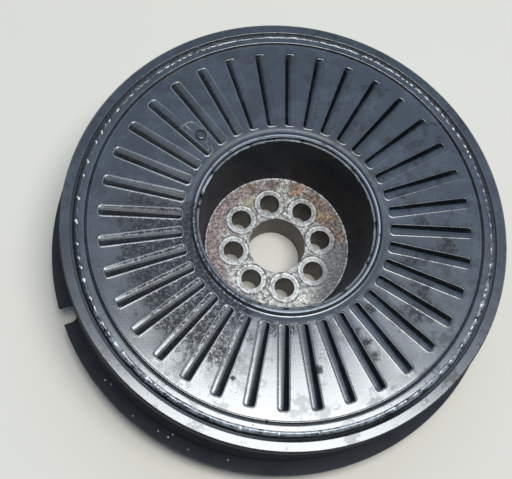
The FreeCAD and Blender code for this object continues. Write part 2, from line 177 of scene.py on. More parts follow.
class Finish:
    """A material whose patterns are laid out in millimetres in the pulley's frame."""

    def __init__(self, name):
        self.material = bpy.data.materials.new(name)
        self.material.use_nodes = True
        self.tree = self.material.node_tree
        self.shader = self.tree.nodes["Principled BSDF"]
        metres = Wire(self.tree.nodes.new("ShaderNodeTexCoord").outputs["Object"])
        self.place = metres.node("VectorMath", {0: metres, "Scale": 1 / mm}, operation="SCALE")
        axes = [self.place.node("SeparateXYZ", {0: self.place}, output=n) for n in range(3)]
        self.x, self.y, self.height = axes
        self.radius = (self.x * self.x + self.y * self.y) ** 0.5
        self.azimuth = self.x.sum("ARCTAN2", self.y, self.x) * math.degrees(1)

    def grain(self, size, detail=2.0, roughness=0.5, place=None, stretch=None):
        """Noise of that grain in millimetres, from 0 to 1."""
        place = place or self.place
        if stretch:
            place = place.node("VectorMath", {0: place, 1: stretch}, operation="MULTIPLY")
        sockets = {"Vector": place, "Scale": 1 / size, "Detail": detail, "Roughness": roughness}
        return place.node("TexNoise", sockets)

    def swept(self, length):
        """Coordinates in which grain runs round the shaft, that many times longer than wide."""
        reach = 60 / length
        sockets = {0: self.x / self.radius * reach, 1: self.y / self.radius * reach, 2: self.radius}
        return self.place.node("CombineXYZ", sockets)

    def spot(self, azimuth, radius, size, ragged=0.0, soft=0.5):
        """1 at a place on the plate, given by azimuth and radius, out to size, with a ragged edge."""
        x, y = radius * math.cos(math.radians(azimuth)), radius * math.sin(math.radians(azimuth))
        across, up = self.x - x, self.y - y
        reach = (across * across + up * up) ** 0.5
        if ragged:
            reach = reach + (self.grain(max(size * 0.6, 1.2), 5, 0.8) - 0.5) * (ragged * size)
        return reach.step(size, size * (1 - soft))

    def spots(self, places, **shape):
        """The strongest of several spots, each given by azimuth, radius and size."""
        strongest = 0.0
        for place in places:
            strongest = self.spot(*place, **shape).above(strongest)
        return strongest

    def set(self, **sockets):
        """Links or sets sockets of the shader, named with underscores."""
        for name, value in sockets.items():
            socket = self.shader.inputs[name.replace("_", " ")]
            if isinstance(value, Wire):
                self.tree.links.new(value.socket, socket)
            else:
                socket.default_value = value
        return self

    def relief(self, height, depth):
        """Bump of that depth in millimetres."""
        sockets = {"Height": height, "Distance": depth * mm, "Strength": 1.0}
        return self.set(Normal=height.node("Bump", sockets))

    def onto(self, piece):
        piece.data.materials.clear()
        piece.data.materials.append(self.material)
        return piece


bpy.ops.object.select_all(action="DESELECT")
bpy.ops.mesh.primitive_plane_add(size=6)
floor = bpy.context.object
floor.name = "floor"
floor_finish = Finish("floor_board")
floor_finish.set(Base_Color=(0.54, 0.50, 0.43, 1), Roughness=0.8, Specular_IOR_Level=0.2).onto(floor)


# Hub
# A thick disc turned from bar and bored, with eight bolt holes. It stays unpainted: bolt flanges polished
# a ring round each hole, and the zone outside them has rusted brown and purple.

def turned(name, steps, section, closed=True):
    """A ring about the shaft axis: a circle is extruded and widened through each (radius, height)."""
    bpy.ops.object.select_all(action="DESELECT")
    radius, height = section[0]
    bpy.ops.mesh.primitive_circle_add(vertices=steps, radius=radius, location=(0, 0, height))
    piece = bpy.context.object
    piece.name = piece.data.name = name
    bpy.ops.object.transform_apply()
    bpy.ops.object.mode_set(mode="EDIT")
    for next_radius, next_height in section[1:] + (section[:1] if closed else []):
        bpy.ops.mesh.extrude_edges_move(TRANSFORM_OT_translate={"value": (0, 0, next_height - height)})
        scale = next_radius / radius
        bpy.ops.transform.resize(value=(scale, scale, 1), center_override=(0, 0, 0))
        radius, height = next_radius, next_height
    bpy.ops.mesh.select_all(action="SELECT")
    bpy.ops.mesh.remove_doubles(threshold=0.001 * mm)
    bpy.ops.mesh.normals_make_consistent(inside=False)
    bpy.ops.object.mode_set(mode="OBJECT")
    return piece


def arc(centre, bend, start, end, count=6):
    """Points of a round corner in a section, between two angles in degrees."""
    turns = [math.radians(start + (end - start) * step / count) for step in range(count + 1)]
    return [(centre[0] + bend * math.cos(turn), centre[1] + bend * math.sin(turn)) for turn in turns]


def apply(piece, kind, **settings):
    """Adds a modifier and applies it."""
    bpy.context.view_layer.objects.active = piece
    modifier = piece.modifiers.new(kind.lower(), kind)
    for setting, value in settings.items():
        setattr(modifier, setting, value)
    bpy.ops.object.modifier_apply(modifier=modifier.name)


def softened(piece, width, segments=2, angle=30):
    """Rounds the sharp edges of a piece and shades it smooth."""
    limit = math.radians(angle)
    apply(piece, "BEVEL", width=width, segments=segments, limit_method="ANGLE", angle_limit=limit)
    bpy.ops.object.select_all(action="DESELECT")
    piece.select_set(True)
    bpy.context.view_layer.objects.active = piece
    bpy.ops.object.shade_smooth_by_angle(angle=math.radians(40))
    apply(piece, "WEIGHTED_NORMAL", keep_sharp=True)
    return piece


def joined(pieces, name):
    bpy.ops.object.select_all(action="DESELECT")
    for piece in pieces:
        piece.select_set(True)
    bpy.context.view_layer.objects.active = pieces[0]
    bpy.ops.object.join()
    pieces[0].name = pieces[0].data.name = name
    return pieces[0]


def cut(piece, tool, operation="DIFFERENCE"):
    """Cuts a tool out of a piece, or adds it, and removes the tool."""
    bpy.ops.object.select_all(action="DESELECT")
    apply(piece, "BOOLEAN", object=tool, operation=operation, solver="EXACT")
    bpy.data.objects.remove(tool)


mounts = {mount["name"]: mount["dims"] for mount in frame["record"]["mounts"]}
hub_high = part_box("hub")[1]
hub_radius, hub_face = hub_high.x, hub_high.z
bore_radius = mounts["shaft_bore"]["r_mm"] * mm
bolt_circle_radius = mounts["shaft_bolts"]["pcd_mm"] / 2 * mm
bolt_count = mounts["shaft_bolts"]["count"]
bolt_hole_radius = mounts["shaft_bolts"]["hole_r_mm"] * mm
bolt_flange_radius = 6.6 * mm

hub = turned("hub_disc", 180, [
    (bore_radius, 0),
    (hub_radius, 0),
    (hub_radius, hub_face),
    (bore_radius, hub_face),
])
drills = []
for number in range(bolt_count):
    turn = 2 * math.pi * number / bolt_count
    bpy.ops.mesh.primitive_cylinder_add(
        vertices=48,
        radius=bolt_hole_radius,
        depth=hub_face * 2,
        location=(bolt_circle_radius * math.cos(turn), bolt_circle_radius * math.sin(turn), hub_face / 2),
    )
    drills.append(bpy.context.object)
cut(hub, joined(drills, "drills"))
softened(hub, 0.55 * mm, segments=2, angle=50)


def hub_finish():
    """Bare steel: a polished ring round each hole, deposits between the rings and rust outside them."""
    steel = Finish("hub_steel")
    mm_hub_radius, mm_hub_face = hub_radius / mm, hub_face / mm
    mm_circle, mm_flange = bolt_circle_radius / mm, bolt_flange_radius / mm
    pitch = 360 / bolt_count
    nearest_hole = steel.azimuth.sum("ROUND", steel.azimuth / pitch) * pitch
    turn = (steel.azimuth - nearest_hole) * math.radians(1)
    across = steel.radius * turn.sum("COSINE", turn) - mm_circle
    along = steel.radius * turn.sum("SINE", turn)
    wobble = steel.grain(2.4, 3) - 0.5
    reach = (across * across + along * along) ** 0.5 + wobble * 0.6
    ring = reach.step(mm_flange + 0.15, mm_flange - 0.3)
    ring_line = reach.band(mm_flange - 0.4, mm_flange - 0.15, 0.25)
    ring_gap = reach.band(mm_flange + 0.3, mm_flange + 0.7, 0.3)
    top = steel.height.step(mm_hub_face - 0.6, mm_hub_face - 0.2)
    edge = steel.radius.step(mm_hub_radius - 0.8, mm_hub_radius - 0.4)

    fine = steel.grain(0.55, 3, 0.75)
    coarse = steel.grain(1.8, 4, 0.8)
    patch = steel.grain(6.5, 3, 0.65)
    speckle = coarse * 0.6 + fine * 0.4
    worn = speckle.step(0.42, 0.58).mix((0.045, 0.035, 0.029), (0.36, 0.325, 0.29))
    mottled = (speckle * 0.6 + steel.grain(3.2, 4, 0.8) * 0.4).step(0.45, 0.57)
    deposits = ((212, 24, 5), (250, 26, 6), (62, 17, 4), (80, 22, 4), (2, 22, 4), (285, 27, 5), (340, 20, 4))
    deposit = steel.spots(deposits, ragged=1.2, soft=0.7)
    face = (mottled * deposit.above(0.3) * 0.95).mix(worn, (0.72, 0.71, 0.61))
    left = (steel.radius + (patch - 0.5) * 8 + (coarse - 0.5) * 5).step(23.5, 28)
    left = left * steel.x.step(6, -8) * steel.y.step(-20, -8)
    face = (left * 0.85).mix(face, speckle.step(0.42, 0.60).mix((0.045, 0.029, 0.028), (0.33, 0.235, 0.22)))
    rust = ((2, 28, 6), (14, 27, 7), (28, 27, 8), (44, 28, 7), (62, 29, 5), (84, 29.5, 4), (104, 29.5, 3))
    rusted = steel.spots(rust, ragged=1.4)
    ember = steel.grain(3.5, 4, 0.8).step(0.46, 0.60)
    dark = speckle.step(0.44, 0.60).mix((0.018, 0.013, 0.011), (0.19, 0.135, 0.115))
    orange = speckle.step(0.42, 0.60).mix((0.05, 0.02, 0.012), (0.36, 0.20, 0.10))
    face = (rusted * 0.9).mix(face, ember.mix(dark, orange))
    browned = patch.step(0.46, 0.60) * coarse.step(0.60, 0.44) * (1.0 - ring)
    face = (browned * 0.6).mix(face, (0.085, 0.055, 0.048))
    mustard = steel.spots(((112, 23.5, 3.4), (30, 24.5, 3.2)), ragged=1.4)
    face = (mustard * coarse.step(0.38, 0.55) * 0.8).mix(face, (0.25, 0.19, 0.06))
    face = (fine.step(0.40, 0.32) * 0.85).mix(face, (0.022, 0.017, 0.014))
    polish = (coarse * 0.7 + patch * 0.3).step(0.38, 0.62)
    polish = polish.mix((0.10, 0.098, 0.090), (0.26, 0.252, 0.235))
    face = (ring * 0.85).mix(face, polish)
    face = (ring_line * coarse.step(0.40, 0.54) * 0.75).mix(face, (0.45, 0.44, 0.41))
    face = (ring_gap * coarse.step(0.66, 0.46) * 0.85).mix(face, (0.03, 0.025, 0.023))
    # Painted shadow: the bowl wall's shadow on the hub's right side, painted dark and flecked with painted
    # glints.
    wall_shadow = (steel.x - steel.y * 0.35 + (coarse - 0.5) * 14).step(18, 27) * steel.y.step(1, -6)
    face = (wall_shadow * 0.8).mix(face, fine.step(0.60, 0.67).mix((0.016, 0.014, 0.013), (0.45, 0.45, 0.44)))
    # The chamfer is worn bare steel, and its pale line is also a painted highlight.
    face = (edge * fine.step(0.42, 0.54) * coarse.step(0.36, 0.52) * 0.85).mix(face, (0.50, 0.51, 0.52))
    bored = steel.grain(1.2, 3, stretch=(1, 1, 2.5)).step(0.35, 0.7)
    inside = bored.mix((0.04, 0.032, 0.028), (0.15, 0.12, 0.10))
    height = speckle - ring * 0.35 - ring_gap * 0.3
    return steel.set(
        Base_Color=top.above(edge).mix(inside, face),
        Metallic=ring * top * 0.4,
        Roughness=0.42 + left.above(rusted) * 0.2 + fine * 0.18 - ring * 0.12,
    ).relief(height, 0.16)


hub_finish().onto(hub)
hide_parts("hub")
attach(hub, "pulley")


# Damper housing
# One deep-drawn steel sheet: the tapered wall of the bowl, the floor round it and the outer wall that
# carries the rubber. It is painted black. Inside the bowl the paint has gone dull, with rust specks near
# the hub.

housing_low, housing_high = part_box("damper_housing")
housing_radius = housing_high.x
floor_height = housing_low.z
sheet = 3.5 * mm
bend = 5 * mm
cover_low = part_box("front_cover")[0]
plate_under = cover_low.z + 1.8 * mm
plate_top = plate_under + 3 * mm
mouth_radius = 36.8 * mm
mouth_roll = 0.6 * mm
mouth_top = housing_high.z
bend_centre = (housing_radius - bend, floor_height + bend)
inner_bend = bend - sheet

housing = turned("damper_housing_shell", 360, [
    (hub_radius + 0.02 * mm, floor_height),
    *arc(bend_centre, bend, -90, 0, 8),
    (housing_radius, plate_under),
    (housing_radius - sheet, plate_under),
    *arc(bend_centre, inner_bend, 0, -90, 4),
    (hub_radius + sheet, floor_height + sheet),
    (hub_radius + sheet, hub_face),
    (mouth_radius + sheet, plate_under),
    (mouth_radius + 2 * mouth_roll, plate_under),
    *arc((mouth_radius + mouth_roll, mouth_top - mouth_roll), mouth_roll, 0, 180, 8),
    (hub_radius + 1.1 * mm, hub_face + 2.6 * mm),
    (hub_radius + 0.35 * mm, hub_face + 0.7 * mm),
    (hub_radius + 0.02 * mm, hub_face - 0.6 * mm),
])
softened(housing, 0.15 * mm, angle=60)


def black_paint(name, film=0.5, wet=0.9, dull=0.28, relief=0.03, blemish=None):
    """Black paint under a thin film of dried oil, mottled at several sizes, glossy where the oil is wet."""
    paint = Finish(name)
    wide = paint.grain(22, 3, 0.6)
    middle = paint.grain(5, 5, 0.7)
    fine = paint.grain(0.8, 3, 0.75)
    filmed = (wide * 0.5 + middle * 0.35 + fine * 0.15).step(0.60 - film * 0.25, 0.70 - film * 0.25)
    matt = paint.grain(12, 5, 0.8).step(0.54, 0.60)
    clean = middle.step(0.3, 0.7).mix((0.003, 0.0035, 0.005), (0.006, 0.007, 0.009))
    grey = (middle * 0.5 + fine * 0.5).step(0.35, 0.7).mix((0.007, 0.010, 0.014), (0.017, 0.022, 0.029))
    colour = filmed.mix(clean, grey)
    roughness = dull + filmed * 0.05 + matt * 0.08 + (fine - 0.5) * 0.12
    coat = (1.0 - matt * (0.3 + paint.x.step(0, 50) * 0.4)) * wet
    ripple = paint.grain(1.1, 2, 0.6, place=paint.swept(3))
    height = wide * 2.0 + middle * 0.7 + fine * 0.15 + ripple * 0.9
    if blemish:
        colour, roughness, coat, height = blemish(paint, colour, roughness, coat, height)
    paint.set(Base_Color=colour, Roughness=roughness, Coat_Weight=coat)
    return paint.set(Coat_Roughness=0.17, Specular_IOR_Level=0.3).relief(height, relief)


def bowl_rust(paint, colour, roughness, coat, height):
    """A dull inside, rust specks where the bowl's wall meets the hub, and a chipped edge at its mouth, whose
    pale chips are also a painted highlight.
    """
    low = paint.height.step(hub_face / mm + 5, hub_face / mm)
    inside = paint.radius.step(mouth_radius / mm + 0.4, mouth_radius / mm) * paint.height.step(19, 20)
    specks = paint.grain(0.8, 2, 0.8).step(0.58, 0.64) * low * inside
    colour = (inside * 0.9).mix(colour, (0.006, 0.009, 0.014))
    colour = (specks * 0.8).mix(colour, (0.20, 0.12, 0.07))
    at_mouth = paint.height.step(mouth_top / mm - 0.5, mouth_top / mm)
    # Pale chips along the mouth's edge: partly worn paint, partly a painted highlight of the rounded edge.
    chipped_lit_edge = paint.grain(2.6, 3, 0.6).step(0.55, 0.62) * at_mouth
    colour = (chipped_lit_edge * 0.6).mix(colour, (0.30, 0.32, 0.34))
    coat = coat * (1.0 - specks) * (1.0 - inside * 0.75)
    return colour, roughness + specks * 0.3 + inside * 0.25, coat, height


black_paint("housing_paint", film=0.2, wet=0.6, dull=0.34, blemish=bowl_rust).onto(housing)
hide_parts("damper_housing")
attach(housing, "pulley")


# Hub weld bead
# A fillet weld on the rear, between the housing's floor and the hub. It was run in short overlapping
# arcs, so its face shows crescent ripples, and it was painted with the rest.

def rippled(piece, centre, pitch, ripple, wander, seed, lumps=(), worked=(0, 180)):
    """Gives a weld bead its ripples: crescents along it, a slow wander of its width, and single lumps."""
    centre_radius, centre_height = centre
    worked_middle, worked_half = worked
    for vertex in piece.data.vertices:
        radius = math.hypot(vertex.co.x, vertex.co.y)
        azimuth = math.atan2(vertex.co.y, vertex.co.x)
        out, up = radius - centre_radius, vertex.co.z - centre_height
        reach = math.hypot(out, up)
        around = Vector((math.cos(azimuth), math.sin(azimuth), 0)) * radius
        side = math.atan2(out, up)
        uneven = noise.noise(around / (9 * mm) + Vector((0, 0, seed)))
        phase = (azimuth * radius) / pitch + 0.35 * side * side + uneven * 1.6
        crest = (0.5 + 0.5 * math.cos(2 * math.pi * phase)) ** 2
        aside = abs((math.degrees(azimuth) - worked_middle + 180) % 360 - 180)
        strength = 0.7 + noise.noise(around / (17 * mm) + Vector((0, 0, seed + 5)))
        strength *= 0.25 + 0.75 / (1 + math.exp((aside - worked_half) / 3))
        slow = noise.noise(around / (11 * mm) + Vector((0, 0, seed + 7)))
        fast = noise.noise(around / (2.3 * mm) + Vector((0, side * 0.8, seed + 3)))
        grow = ripple * crest * max(strength, 0.1) + wander * (slow * 0.7 + 0.5 * fast)
        for place, size, width in lumps:
            apart = (math.degrees(azimuth) - place + 180) % 360 - 180
            grow += size * mm * math.exp(-((apart / width) ** 2))
        scale = 1 + grow / max(reach, 0.2 * mm)
        vertex.co.x *= (centre_radius + out * scale) / radius
        vertex.co.y *= (centre_radius + out * scale) / radius
        vertex.co.z = centre_height + up * scale
    return softened(piece, 0.01 * mm, segments=1, angle=80)


leg = 3 * mm
hub_weld = turned("hub_weld", 900, [
    (hub_radius, floor_height),
    (hub_radius + leg, floor_height),
    (hub_radius + leg * 0.93, floor_height - leg * 0.18),
    (hub_radius + leg * 0.72, floor_height - leg * 0.42),
    (hub_radius + leg * 0.42, floor_height - leg * 0.72),
    (hub_radius + leg * 0.18, floor_height - leg * 0.93),
    (hub_radius, floor_height - leg),
])
rippled(hub_weld, (hub_radius, floor_height), 2.6 * mm, 0.14 * mm, 0.25 * mm, 11)
black_paint("hub_weld_paint", film=0.3, relief=0.04).onto(hub_weld)
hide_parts("hub_weld_bead")
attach(hub_weld, "pulley")


# Inertia ring and its slide bands
# A free ring of grey iron, turned all over, that lags behind in the silicone fluid. Three bands of natural
# bearing plastic keep it off the housing. All of it is sealed in and only shows if the pulley is cut open.

iron = Finish("ring_iron")
tooling = iron.grain(0.35, 1, stretch=(0.02, 0.02, 1)) * 0.6 + iron.grain(1.5, 3) * 0.4
iron.set(
    Base_Color=tooling.step(0.3, 0.7).mix((0.13, 0.13, 0.135), (0.26, 0.26, 0.265)),
    Metallic=0.85,
    Roughness=0.32 + tooling * 0.15,
    Coat_Weight=0.5,
).relief(tooling, 0.02)
iron.onto(frame["nodes"]["inertia_ring"])

plastic = Finish("band_plastic")
cloud = plastic.grain(3, 3)
plastic.set(
    Base_Color=cloud.step(0.3, 0.7).mix((0.66, 0.60, 0.45), (0.78, 0.73, 0.58)),
    Roughness=0.45 + cloud * 0.1,
).relief(cloud, 0.02)
for band in ("rear_thrust_band", "front_thrust_band", "radial_slide_band"):
    plastic.onto(frame["nodes"][band])


# Front cover
# A pressed lid of 3 mm steel with an inner lip and 36 radial slots. Each slot is a ramp that falls from its
# clockwise side to the foot of a steep wall, inside a thin raised outline that the press left.

lip_top = plate_top + 0.8 * mm
band_top = plate_top + 0.4 * mm
cover_inner_radius = mouth_radius + 1.3 * mm
slot_count = 36
slot_inner, slot_outer = 44.4 * mm, 78.9 * mm
slot_width = 4.1 * mm
slot_lead = 0.8 * mm
slot_depth = 1.35 * mm
slot_corner = 1.2 * mm
outline_width = 0.75 * mm
outline_height = 0.11 * mm
ramp_fall = 0.24 * mm
steep_side = 0.5 * mm
crease_inner, crease_outer = -0.5 * mm, -1.4 * mm

# The section runs from the slotted field over the shoulder to the lip, and under the plate to the weld, the
# flat band and the rim groove
field_inner, field_outer = 43.3 * mm, 82.2 * mm
shoulder_foot = 40.9 * mm
groove_bottom = 84.0 * mm
cover = turned("cover_rim", 360, [
    (field_inner, plate_top),
    (shoulder_foot + 1.9 * mm, plate_top - 0.03 * mm),
    (shoulder_foot + 1.3 * mm, plate_top - 0.10 * mm),
    (shoulder_foot + 0.6 * mm, plate_top - 0.21 * mm),
    (shoulder_foot, plate_top - 0.24 * mm),
    (shoulder_foot - 0.4 * mm, plate_top - 0.08 * mm),
    (shoulder_foot - 0.7 * mm, plate_top + 0.16 * mm),
    *arc((cover_inner_radius + 1.35 * mm, lip_top - 0.35 * mm), 0.35 * mm, 45, 90, 3),
    (cover_inner_radius + 0.9 * mm, lip_top - 0.10 * mm),
    *arc((cover_inner_radius + 0.45 * mm, lip_top - 0.35 * mm), 0.35 * mm, 90, 180, 4),
    (cover_inner_radius + 0.1 * mm, plate_under),
    (housing_radius - 0.1 * mm, plate_under),
    (housing_radius - 0.1 * mm, plate_top - 0.3 * mm),
    *arc((housing_radius - 0.35 * mm, band_top - 0.25 * mm), 0.25 * mm, 0, 90, 4),
    (groove_bottom + 1.3 * mm, band_top),
    (groove_bottom + 0.8 * mm, band_top - 0.02 * mm),
    (groove_bottom + 0.5 * mm, band_top - 0.07 * mm),
    (groove_bottom + 0.25 * mm, plate_top + 0.05 * mm),
    (groove_bottom, plate_top - 0.3 * mm),
    (groove_bottom - 0.25 * mm, plate_top - 0.25 * mm),
    (groove_bottom - 0.45 * mm, plate_top - 0.02 * mm),
    (groove_bottom - 0.65 * mm, plate_top + 0.03 * mm),
    (groove_bottom - 0.9 * mm, plate_top + 0.02 * mm),
    (groove_bottom - 1.15 * mm, plate_top - 0.05 * mm),
    (groove_bottom - 1.5 * mm, plate_top - 0.01 * mm),
    (field_outer, plate_top),
], closed=False)


def pressed(x, y):
    """Rise of the plate in and round a slot, where x runs along the slot's radial line and y across it."""
    along = abs(x - (slot_inner + slot_outer) / 2) - (slot_outer - slot_inner) / 2 + slot_corner
    across = abs(y - slot_lead + slot_width / 2) - slot_width / 2 + slot_corner
    outside = math.hypot(max(along, 0), max(across, 0)) + min(max(along, across), 0) - slot_corner
    if outside >= 0:
        return outline_height * math.sin(math.pi * min(outside / outline_width, 1))
    crease = crease_at(x)
    ramp = max(0, min(1, (y - slot_lead + slot_width) / (crease - slot_lead + slot_width)))
    steepness = (slot_depth - ramp_fall) / (steep_side - crease)
    fall = ramp_fall * ramp ** 2.0 + steepness * max(0, y - crease)
    return -min(fall, slot_depth, -outside * 6)


def crease_at(x):
    """Where the slot's gentle ramp breaks into the steep side, further from the wall at the outer end."""
    return crease_inner + (crease_outer - crease_inner) * (x - slot_inner) / (slot_outer - slot_inner)


# Each slot is a grid whose rows lie closest at the outline, the crease and the wall
end_steps = (0.85, 0.6, 0.4, 0.25, 0.1, 0, -0.12, -0.3, -0.55, -0.85, -1.3, -1.9, -2.6)
from_end = [step * mm for step in end_steps]
columns = [slot_inner - step for step in from_end] + [slot_outer + step for step in reversed(from_end)]
outside_rows = [step * mm for step in (0.85, 0.6, 0.4, 0.25, 0.1)]
ramp_rows = (0, 0.05, 0.15, 0.3, 0.5, 0.7, 0.85, 0.95, 1)
steep_rows = (0.1, 0.35, 0.6, 0.8, 0.87, 0.93, 1)
row_count = len(outside_rows) * 2 + len(ramp_rows) + len(steep_rows)
bpy.ops.object.select_all(action="DESELECT")
bpy.ops.mesh.primitive_grid_add(x_subdivisions=len(columns) - 1, y_subdivisions=row_count - 1, size=2)
slots = bpy.context.object
for vertex in slots.data.vertices:
    x = columns[round((vertex.co.x + 1) / 2 * (len(columns) - 1))]
    far_side, crease = slot_lead - slot_width, crease_at(x)
    rows = [far_side - step for step in outside_rows]
    rows += [far_side + share * (crease - far_side) for share in ramp_rows]
    rows += [crease + share * (slot_lead - crease) for share in steep_rows]
    rows += [slot_lead + step for step in reversed(outside_rows)]
    y = rows[round((vertex.co.y + 1) / 2 * (row_count - 1))]
    vertex.co = (x, y, plate_top + pressed(x, y))
bpy.ops.object.mode_set(mode="EDIT")
bpy.ops.mesh.select_all(action="SELECT")
bpy.ops.mesh.spin(
    steps=slot_count - 1,
    dupli=True,
    angle=2 * math.pi * (slot_count - 1) / slot_count,
    center=(0, 0, 0),
    axis=(0, 0, 1),
)
bpy.ops.object.mode_set(mode="OBJECT")
cover = joined([cover, slots], "front_cover_plate")
bpy.ops.object.mode_set(mode="EDIT")
bpy.ops.mesh.select_all(action="DESELECT")
bpy.ops.mesh.select_mode(type="EDGE")
bpy.ops.mesh.select_non_manifold()
bpy.ops.mesh.fill()
bpy.ops.mesh.select_all(action="SELECT")
bpy.ops.mesh.normals_make_consistent(inside=False)
bpy.ops.object.mode_set(mode="OBJECT")

# The flat pad of the filler hole fills the ramp of one slot, with a thin ridge where the press stopped
filler_turn = math.radians(130)
pad_outline = [
    (45.6, -0.9), (45.7, -2.2), (46.2, -2.9), (47.6, -3.3), (48.5, -4.2), (49.2, -5.6), (50.0, -6.9),
    (51.2, -7.5), (53, -7.5), (56, -7.6), (58.4, -7.6), (59.9, -7.0), (60.9, -5.8), (61.5, -4.2),
    (61.75, -2.5), (61.8, -0.9),
]
bpy.ops.object.select_all(action="DESELECT")
bpy.ops.mesh.primitive_circle_add(vertices=len(pad_outline), fill_type="NGON")
pad = bpy.context.object
for vertex, (x, y) in zip(pad.data.vertices, pad_outline):
    vertex.co = (x * mm, y * mm, plate_top - 1 * mm)
bpy.ops.object.mode_set(mode="EDIT")
bpy.ops.mesh.select_all(action="SELECT")
bpy.ops.mesh.extrude_region_move(TRANSFORM_OT_translate={"value": (0, 0, 1.01 * mm)})
bpy.ops.mesh.inset(thickness=0.2 * mm, depth=0.13 * mm)
bpy.ops.mesh.inset(thickness=0.15 * mm, depth=0.01 * mm)
bpy.ops.mesh.inset(thickness=0.25 * mm, depth=-0.14 * mm)
bpy.ops.mesh.select_all(action="SELECT")
bpy.ops.mesh.normals_make_consistent(inside=False)
bpy.ops.object.mode_set(mode="OBJECT")
pad.rotation_euler = Euler((0, 0, filler_turn))
bpy.ops.object.transform_apply()

# No slot outline stands up under the pad
for vertex in cover.data.vertices:
    place = vertex.co.copy()
    place.rotate(Euler((0, 0, -filler_turn)))
    if 46.5 * mm < place.x < 61 * mm and -6.5 * mm < place.y < -1 * mm:
        vertex.co.z = min(vertex.co.z, plate_top)
cut(cover, pad, "UNION")
plug_low, plug_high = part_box("filler_plug")
plug_middle = (plug_low + plug_high) / 2
plug_radius = 1.9 * mm
seat = turned("plug_seat", 64, [
    (plug_radius - 0.15 * mm, plate_top - 0.8 * mm),
    (plug_radius + 0.55 * mm, plate_top - 0.8 * mm),
    (plug_radius + 0.75 * mm, plate_top + 1 * mm),
    (plug_radius - 0.15 * mm, plate_top + 1 * mm),
])
seat.location = (plug_middle.x, plug_middle.y, 0)
bpy.ops.object.transform_apply()
cut(cover, seat)
softened(cover, 0.02 * mm, segments=1, angle=80)


def cover_stains_and_painted_light(paint, colour, roughness, coat, height):
    """A painted lip highlight, grit and worn outlines partly painted light, painted shade in slots, dark
    flakes, single stains.
    """
    field = paint.radius.band(field_inner / mm, field_outer / mm, 0.4)
    grit = paint.grain(0.6, 3, 0.8)
    lit_worn_side = paint.x.step(5, -35)
    below = paint.height.step(plate_top / mm - 0.02, plate_top / mm - 0.10) * field
    deep = paint.height.step(plate_top / mm - 0.6, plate_top / mm - 1.15) * field
    raised = paint.height.step(plate_top / mm + 0.02, plate_top / mm + 0.10) * field
    # Grit in the slots, laid only on the left side where the light falls: partly dirt, partly painted light.
    gritty = below * lit_worn_side
    colour = (gritty * grit.step(0.45, 0.65) * 0.6).mix(colour, (0.055, 0.06, 0.068))
    # The raised outlines are lightened as worn paint and as a painted highlight, most on the lit left side.
    colour = (raised * grit.step(0.35, 0.50) * (lit_worn_side * 0.6 + 0.1)).mix(colour, (0.15, 0.155, 0.165))
    # Painted shade: the deep part of each slot is darkened where shade falls.
    colour = (deep * 0.85).mix(colour, (0.0015, 0.002, 0.003))

    lip = paint.radius.band(39.0, 40.9, 0.3)
    # Painted highlight: a pale broken line along the lip's crest.
    lip_highlight = paint.radius.band(39.1, 39.5, 0.2) * paint.grain(4, 3, 0.7).step(0.30, 0.46)
    colour = (lip * 0.8).mix(colour, (0.022, 0.025, 0.031))
    colour = (lip_highlight * 0.9).mix(colour, (0.24, 0.26, 0.29))

    cloud = paint.grain(7, 4, 0.75) - 0.5
    ragged_side = (paint.x * -0.94 - paint.y * 0.342) / paint.radius + cloud * 0.5
    ragged_side = ragged_side.step(0.70, 0.84) * (paint.radius + cloud * 34).step(75, 66)
    flake_places = (
        (237, 47, 4), (251, 46.5, 5), (262, 46, 4), (292.5, 66, 3.4), (293, 60, 3.2), (292, 54, 3),
        (304, 50, 4), (309, 60, 5), (317, 66, 8), (326, 62, 8), (333, 55, 6), (343, 68, 7),
        (352, 58, 5), (8, 52, 5),
    )
    flaked = paint.spots(flake_places, ragged=2.4, soft=0.7).above(ragged_side)
    flakes = flaked * paint.grain(1.6, 6, 0.9).step(0.58, 0.48) * (1.0 - below) * (1.0 - raised)
    colour = (flakes * 0.9).mix(colour, (0.006, 0.005, 0.007))

    stain_places = (
        (271.6, 63.5, 2.3), (242, 70, 1.3), (2, 55, 3.2), (5, 68, 1.6), (33, 59, 3.0), (43, 56, 1.8),
        (54, 59, 2.2), (54, 48.5, 2.6), (336, 60, 3), (92, 78, 3.5), (64, 80, 3.5),
    )
    stained = paint.spots(stain_places, ragged=2.6) * (paint.y.step(-20, -40) * 0.6 + 0.4)
    colour = (stained * 0.85).mix(colour, (0.006, 0.005, 0.006))

    roughness = roughness + gritty * 0.25 + raised * 0.12 + flakes * 0.4 + stained * 0.4
    coat = coat * (1.0 - raised * 0.6) * (1.0 - gritty * 0.9) * (1.0 - below * 0.3) * (1.0 - deep * 0.75)
    coat = coat * (1.0 - flakes * 0.9) * (1.0 - stained * 0.9)
    return colour, roughness, coat, height + gritty * grit * 1.1 - flakes * 0.3


black_paint("cover_paint", film=0.5, wet=1.0, dull=0.28, relief=0.04, blemish=cover_stains_and_painted_light).onto(cover)
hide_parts("front_cover")
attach(cover, "pulley")


# Filler plug
# A small steel pin pressed into the filler hole once the fluid is in, with a punched dimple in its centre.

